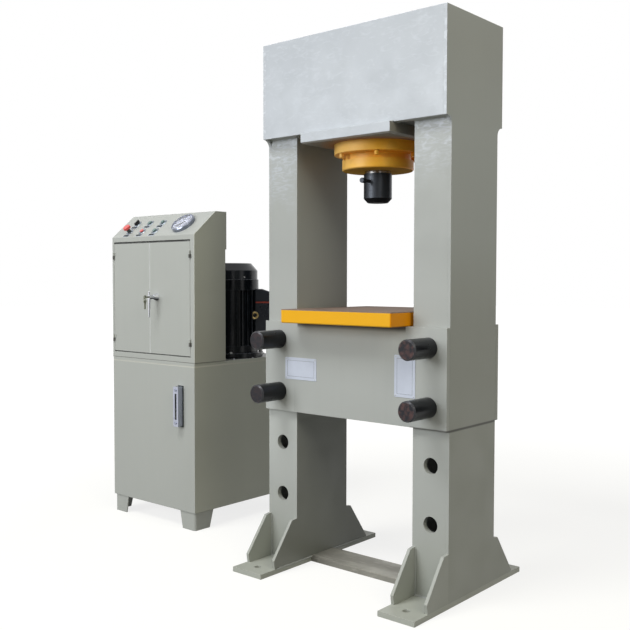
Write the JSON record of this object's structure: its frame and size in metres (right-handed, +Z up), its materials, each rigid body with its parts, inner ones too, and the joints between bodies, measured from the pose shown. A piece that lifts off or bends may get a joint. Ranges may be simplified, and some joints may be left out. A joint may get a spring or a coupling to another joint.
{
  "type": "hydraulic press",
  "caption": "Frame press with a pinned table, a crown-mounted hydraulic cylinder and a separate power unit: oil tank, vertical motor and a sloped control cabinet.",
  "frame": {"origin": "on the floor under the ram's axis, at the centre of the four anchor holes", "axes": "+X to the right seen from the front, -Y to the front, +Z up; the power unit stands at -X"},
  "size_m": [1.891, 0.853, 1.99],
  "materials": {
    "frame_paint": "light grey paint, slightly uneven",
    "crown_paint": "light silver-grey paint",
    "unit_paint": "light grey-green paint",
    "table_yellow": "yellow paint with a bare machined top",
    "cylinder_paint": "orange-yellow paint",
    "bare_steel": "scuffed bare steel",
    "rod_steel": "ground and plated",
    "dark_steel": "blackened steel, browned end faces",
    "nose_black": "black oxide",
    "motor_black": "black satin paint",
    "chrome_trim": "bright plated",
    "zinc": "zinc plated",
    "brass": "plain brass",
    "clear": "clear",
    "dial_white": "white dial in a bright bezel",
    "black_plastic": "matt",
    "red_plastic": "gloss",
    "green_plastic": "gloss",
    "hydraulic_grey": "grey paint",
    "device_grey": "mixed plastic devices on a zinc plate"
  },
  "bodies": {
    "frame": {"left_side_plate": "frame_paint", "right_side_plate": "frame_paint", "left_column": "frame_paint", "right_column": "frame_paint", "base_plates": "frame_paint", "foot_tie_bar": "bare_steel", "crown_front_plate": "crown_paint", "crown_back_plate": "frame_paint", "crown_top_plate": "frame_paint", "crown_bottom_plate": "frame_paint", "cylinder_seat_plate": "frame_paint", "table_front_plate": "frame_paint", "table_back_plate": "frame_paint", "table_core": "frame_paint", "bolster_plate": "table_yellow", "cylinder_barrel": "cylinder_paint", "gland_flange": "cylinder_paint", "flange_bolts": "cylinder_paint", "port_fittings": "zinc", "tank_body": "unit_paint", "tank_cover": "unit_paint", "tank_feet": "unit_paint", "level_gauge_frame": "chrome_trim", "level_gauge_glass": "clear", "cabinet_shell": "unit_paint", "rear_cover": "unit_paint", "door_hinges": "black_plastic", "device_plate": "device_grey", "control_bezels": "black_plastic", "gauge_case": "dial_white", "gauge_glass": "clear", "motor_housing": "motor_black", "fan_cover": "motor_black", "terminal_box": "motor_black", "pump": "motor_black", "valve_block": "hydraulic_grey", "solenoid_valve": "black_plastic", "breather_cap": "black_plastic"},
    "ram": {"piston_rod": "rod_steel", "ram_nose": "nose_black", "nose_screw": "zinc"},
    "pin_lower_left": {"pin_lower_left": "dark_steel"},
    "pin_lower_right": {"pin_lower_right": "dark_steel"},
    "pin_upper_left": {"pin_upper_left": "dark_steel"},
    "pin_upper_right": {"pin_upper_right": "dark_steel"},
    "left_door": {"left_door": "unit_paint"},
    "right_door": {"right_door": "unit_paint", "door_lock": "chrome_trim"},
    "lock": {"lock_handle": "chrome_trim", "lock_cam": "zinc", "lock_keys": "zinc"},
    "needle": {"gauge_needle": "black_plastic"},
    "rotor": {"motor_rotor": "bare_steel", "motor_fan": "black_plastic"},
    "emergency_stop": {"emergency_stop_button": "red_plastic"},
    "selector": {"selector_switch": "black_plastic"},
    "stop_button": {"stop_button": "red_plastic"},
    "raise_button": {"raise_button": "green_plastic"},
    "start_button": {"start_button": "green_plastic"},
    "lower_button": {"lower_button": "green_plastic"}
  },
  "joints": [
    {"name": "ram_slide", "type": "slide", "parent": "frame", "child": "ram", "axis": [0, 0, -1], "range_m": [0, 0.3]},
    {"name": "pin_lower_left_slide", "type": "slide", "parent": "frame", "child": "pin_lower_left", "axis": [0, -1, 0], "range_m": [0, 0.34]},
    {"name": "pin_lower_right_slide", "type": "slide", "parent": "frame", "child": "pin_lower_right", "axis": [0, -1, 0], "range_m": [0, 0.34]},
    {"name": "pin_upper_left_slide", "type": "slide", "parent": "frame", "child": "pin_upper_left", "axis": [0, -1, 0], "range_m": [0, 0.34]},
    {"name": "pin_upper_right_slide", "type": "slide", "parent": "frame", "child": "pin_upper_right", "axis": [0, -1, 0], "range_m": [0, 0.34]},
    {"name": "left_door_hinge", "type": "hinge", "parent": "frame", "child": "left_door", "pos_m": [-1.4685, -0.1035, 1.015], "axis": [0, 0, -1], "range_deg": [0, 110]},
    {"name": "right_door_hinge", "type": "hinge", "parent": "frame", "child": "right_door", "pos_m": [-0.932, -0.1035, 1.015], "axis": [0, 0, 1], "range_deg": [0, 110]},
    {"name": "lock_turn", "type": "hinge", "parent": "right_door", "child": "lock", "pos_m": [-1.156, -0.119, 1.02], "axis": [0, -1, 0], "range_deg": [0, 90]},
    {"name": "needle_turn", "type": "hinge", "parent": "frame", "child": "needle", "pos_m": [-1.037, -0.04675, 1.34991], "axis": [0, 0.6453, -0.764], "range_deg": [0, 270], "stiffness_Nm_per_rad": 0.002},
    {"name": "rotor_spin", "type": "hinge", "parent": "frame", "child": "rotor", "pos_m": [-1.065, 0.275, 0.9], "axis": [0, 0, 1], "continuous": true},
    {"name": "emergency_stop_push", "type": "slide", "parent": "frame", "child": "emergency_stop", "axis": [0, 0.6453, -0.764], "range_m": [0, 0.005]},
    {"name": "selector_turn", "type": "hinge", "parent": "frame", "child": "selector", "pos_m": [-1.386, -0.0226, 1.35853], "axis": [0, -0.6453, 0.764], "range_deg": [-45, 45]},
    {"name": "stop_button_push", "type": "slide", "parent": "frame", "child": "stop_button", "axis": [0, 0.6453, -0.764], "range_m": [0, 0.004], "stiffness_N_per_m": 600, "springref_m": -0.002},
    {"name": "raise_button_push", "type": "slide", "parent": "frame", "child": "raise_button", "axis": [0, 0.6453, -0.764], "range_m": [0, 0.004], "stiffness_N_per_m": 600, "springref_m": -0.002},
    {"name": "start_button_push", "type": "slide", "parent": "frame", "child": "start_button", "axis": [0, 0.6453, -0.764], "range_m": [0, 0.004], "stiffness_N_per_m": 600, "springref_m": -0.002},
    {"name": "lower_button_push", "type": "slide", "parent": "frame", "child": "lower_button", "axis": [0, 0.6453, -0.764], "range_m": [0, 0.004], "stiffness_N_per_m": 600, "springref_m": -0.002}
  ]
}
